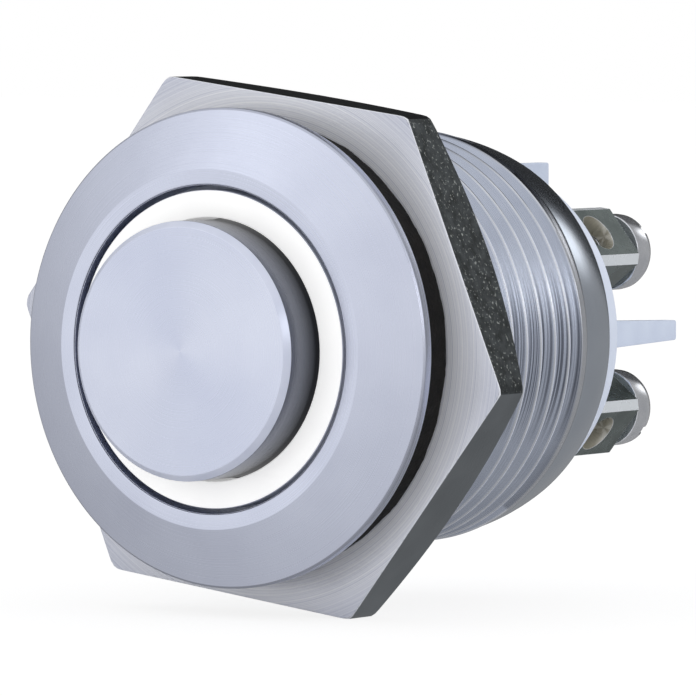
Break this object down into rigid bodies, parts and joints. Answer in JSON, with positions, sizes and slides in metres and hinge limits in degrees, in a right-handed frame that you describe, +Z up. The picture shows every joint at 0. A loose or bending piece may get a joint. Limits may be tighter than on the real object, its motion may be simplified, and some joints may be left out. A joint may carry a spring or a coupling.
{
  "type": "anti vandal push button",
  "caption": "Raised round metal push button with a lit ring, threaded barrel, gasket and hex nut, screw terminals and lamp pins behind.",
  "frame": {"origin": "on the button's axis, at the back face of the flange", "axes": "+Y along the axis to the back, the button faces -Y, +Z up, +X to the side of the terminals"},
  "size_m": [0.0218, 0.0253, 0.0202],
  "materials": {
    "steel": "turned and brushed, satin",
    "nut_metal": "satin, finely pitted",
    "rubber": "matt black",
    "lit_plastic": "clear white diffuser",
    "black_plastic": "moulded",
    "board": "solder mask",
    "lamp": "lens",
    "base_plastic": "moulded, pale",
    "pin_metal": "tinned",
    "contact_metal": "stamped",
    "silver": "contact silver",
    "terminal_metal": "nickel plated",
    "screw_metal": "nickel plated",
    "spring_steel": "drawn wire"
  },
  "bodies": {
    "housing": {"housing_barrel": "steel", "panel_gasket": "rubber", "light_ring": "lit_plastic", "inner_carrier": "black_plastic", "light_board": "board", "lamp_upper_right": "lamp", "lamp_upper_left": "lamp", "lamp_lower_left": "lamp", "lamp_lower_right": "lamp", "lamp_resistor": "black_plastic", "rear_base": "base_plastic", "base_seal": "rubber", "lamp_pin_side": "pin_metal", "lamp_pin_top": "pin_metal", "contact_strip_upper": "contact_metal", "contact_strip_lower": "contact_metal", "fixed_tip_upper": "silver", "fixed_tip_lower": "silver", "terminal_post_upper": "terminal_metal", "terminal_post_lower": "terminal_metal", "terminal_screw_upper": "screw_metal", "terminal_screw_lower": "screw_metal"},
    "nut": {"panel_nut": "nut_metal"},
    "button": {"button_cap": "steel", "cap_seal": "rubber", "plunger": "black_plastic", "retaining_clip": "spring_steel", "return_spring": "spring_steel"},
    "bridge": {"contact_bridge": "contact_metal", "bridge_tip_upper": "silver", "bridge_tip_lower": "silver", "contact_spring": "spring_steel"}
  },
  "joints": [
    {"name": "button_press", "type": "slide", "parent": "housing", "child": "button", "axis": [0, 1, 0], "range_m": [0, 0.0015], "stiffness_N_per_m": 1200, "springref_m": -0.0015, "deforming": ["return_spring"]},
    {"name": "bridge_travel", "type": "slide", "parent": "housing", "child": "bridge", "axis": [0, 1, 0], "range_m": [0, 0.0009], "deforming": ["contact_spring"]},
    {"name": "nut_travel", "type": "slide", "parent": "housing", "child": "nut", "axis": [0, 1, 0], "range_m": [0, 0.0089]}
  ],
  "couplings": [
    {"joint": "bridge_travel", "follows": "button_press", "ratio": 0.6}
  ]
}
